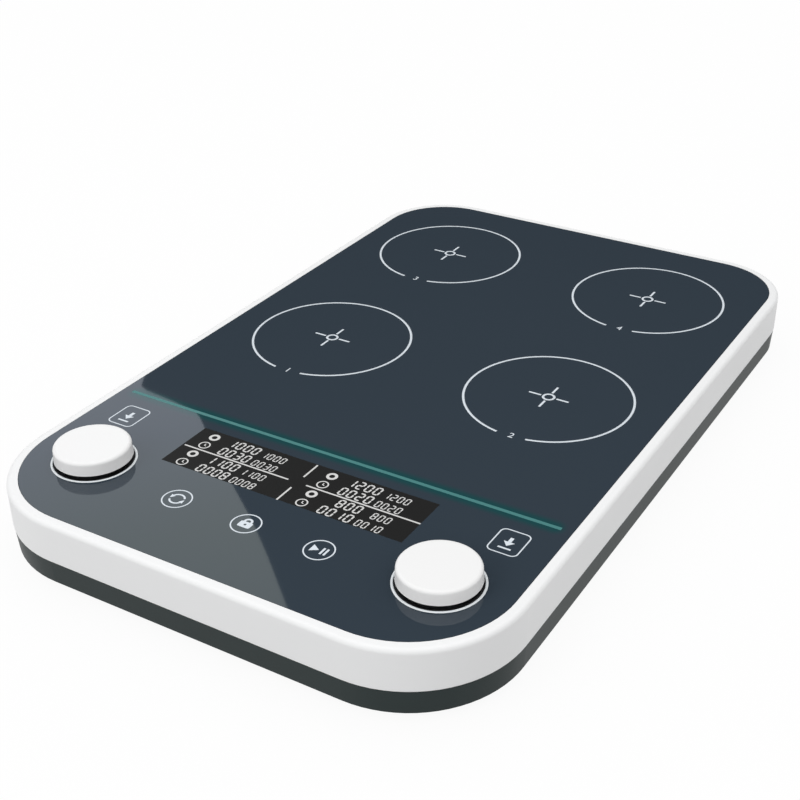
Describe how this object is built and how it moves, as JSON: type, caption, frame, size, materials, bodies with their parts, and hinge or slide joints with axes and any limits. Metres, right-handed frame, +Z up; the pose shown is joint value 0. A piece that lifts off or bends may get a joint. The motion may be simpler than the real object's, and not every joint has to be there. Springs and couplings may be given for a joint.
{
  "type": "magnetic stirrer",
  "caption": "Flat multi-position magnetic stirrer: dark glass top with printed stirring circles in a white frame, two round push knobs and a display strip.",
  "frame": {"origin": "middle of the footprint, on the surface the feet stand on", "axes": "+Z up, +Y to the rear, the control strip faces -Y, +X to the operator's right"},
  "size_m": [0.24, 0.38, 0.042],
  "materials": {
    "white_abs": "fine satin moulded",
    "dark_abs": "fine textured moulded",
    "panel_glass": "polished, back printed",
    "black_rubber": "matt",
    "black_plastic": "satin",
    "white_knob": "satin",
    "display": "polished",
    "circuit_board": "solder mask",
    "steel": "zinc plated",
    "copper": "enamelled wire",
    "magnet": "nickel plated",
    "ferrite": "sintered",
    "lead": "flat insulated lead"
  },
  "bodies": {
    "housing": {"top_frame": "white_abs", "glass_panel": "panel_glass", "panel_gasket": "black_rubber", "bottom_housing": "dark_abs", "rubber_feet": "black_rubber", "housing_screws": "steel", "control_board": "circuit_board", "lcd_module": "display", "lcd_holder": "white_abs", "touch_springs": "steel", "main_board": "circuit_board", "board_screws": "steel", "motor_screws": "steel", "dc_inlet": "black_plastic", "power_switch": "black_plastic", "ribbon_cable": "lead", "motor_leads": "lead", "power_leads": "lead", "motor_bearings": "steel", "left_knob_ring": "white_knob", "left_knob_seat": "black_plastic", "left_encoder": "steel", "right_knob_ring": "white_knob", "right_knob_seat": "black_plastic", "right_encoder": "steel", "motor_1_base": "steel", "motor_1_core": "steel", "motor_1_coils": "copper", "motor_2_base": "steel", "motor_2_core": "steel", "motor_2_coils": "copper", "motor_3_base": "steel", "motor_3_core": "steel", "motor_3_coils": "copper", "motor_4_base": "steel", "motor_4_core": "steel", "motor_4_coils": "copper"},
    "left_push": {"left_switch_plunger": "white_abs"},
    "left_turn": {"left_knob": "white_knob", "left_encoder_shaft": "steel"},
    "right_push": {"right_switch_plunger": "white_abs"},
    "right_turn": {"right_knob": "white_knob", "right_encoder_shaft": "steel"},
    "rocker": {"power_rocker": "black_plastic"},
    "rotor_1": {"rotor_1_cup": "steel", "rotor_1_ring_magnet": "ferrite", "rotor_1_carrier": "black_plastic", "rotor_1_drive_magnets": "magnet"},
    "rotor_2": {"rotor_2_cup": "steel", "rotor_2_ring_magnet": "ferrite", "rotor_2_carrier": "black_plastic", "rotor_2_drive_magnets": "magnet"},
    "rotor_3": {"rotor_3_cup": "steel", "rotor_3_ring_magnet": "ferrite", "rotor_3_carrier": "black_plastic", "rotor_3_drive_magnets": "magnet"},
    "rotor_4": {"rotor_4_cup": "steel", "rotor_4_ring_magnet": "ferrite", "rotor_4_carrier": "black_plastic", "rotor_4_drive_magnets": "magnet"}
  },
  "joints": [
    {"name": "left_knob_press", "type": "slide", "parent": "housing", "child": "left_push", "axis": [0, 0, -1], "range_m": [0, 0.0005], "stiffness_N_per_m": 6000, "springref_m": -0.0005},
    {"name": "left_knob_turn", "type": "hinge", "parent": "left_push", "child": "left_turn", "pos_m": [-0.085, -0.1441, 0.034], "axis": [0, 0, 1], "continuous": true},
    {"name": "right_knob_press", "type": "slide", "parent": "housing", "child": "right_push", "axis": [0, 0, -1], "range_m": [0, 0.0005], "stiffness_N_per_m": 6000, "springref_m": -0.0005},
    {"name": "right_knob_turn", "type": "hinge", "parent": "right_push", "child": "right_turn", "pos_m": [0.085, -0.1441, 0.034], "axis": [0, 0, 1], "continuous": true},
    {"name": "power_rocker_tilt", "type": "hinge", "parent": "housing", "child": "rocker", "pos_m": [0.03, 0.1855, 0.0214], "axis": [0, 0, 1], "range_deg": [0, 18]},
    {"name": "rotor_1_spin", "type": "hinge", "parent": "housing", "child": "rotor_1", "pos_m": [-0.06, 0.001, 0.02], "axis": [0, 0, 1], "continuous": true},
    {"name": "rotor_2_spin", "type": "hinge", "parent": "housing", "child": "rotor_2", "pos_m": [0.06, 0.001, 0.02], "axis": [0, 0, 1], "continuous": true},
    {"name": "rotor_3_spin", "type": "hinge", "parent": "housing", "child": "rotor_3", "pos_m": [-0.06, 0.121, 0.02], "axis": [0, 0, 1], "continuous": true},
    {"name": "rotor_4_spin", "type": "hinge", "parent": "housing", "child": "rotor_4", "pos_m": [0.06, 0.121, 0.02], "axis": [0, 0, 1], "continuous": true}
  ]
}
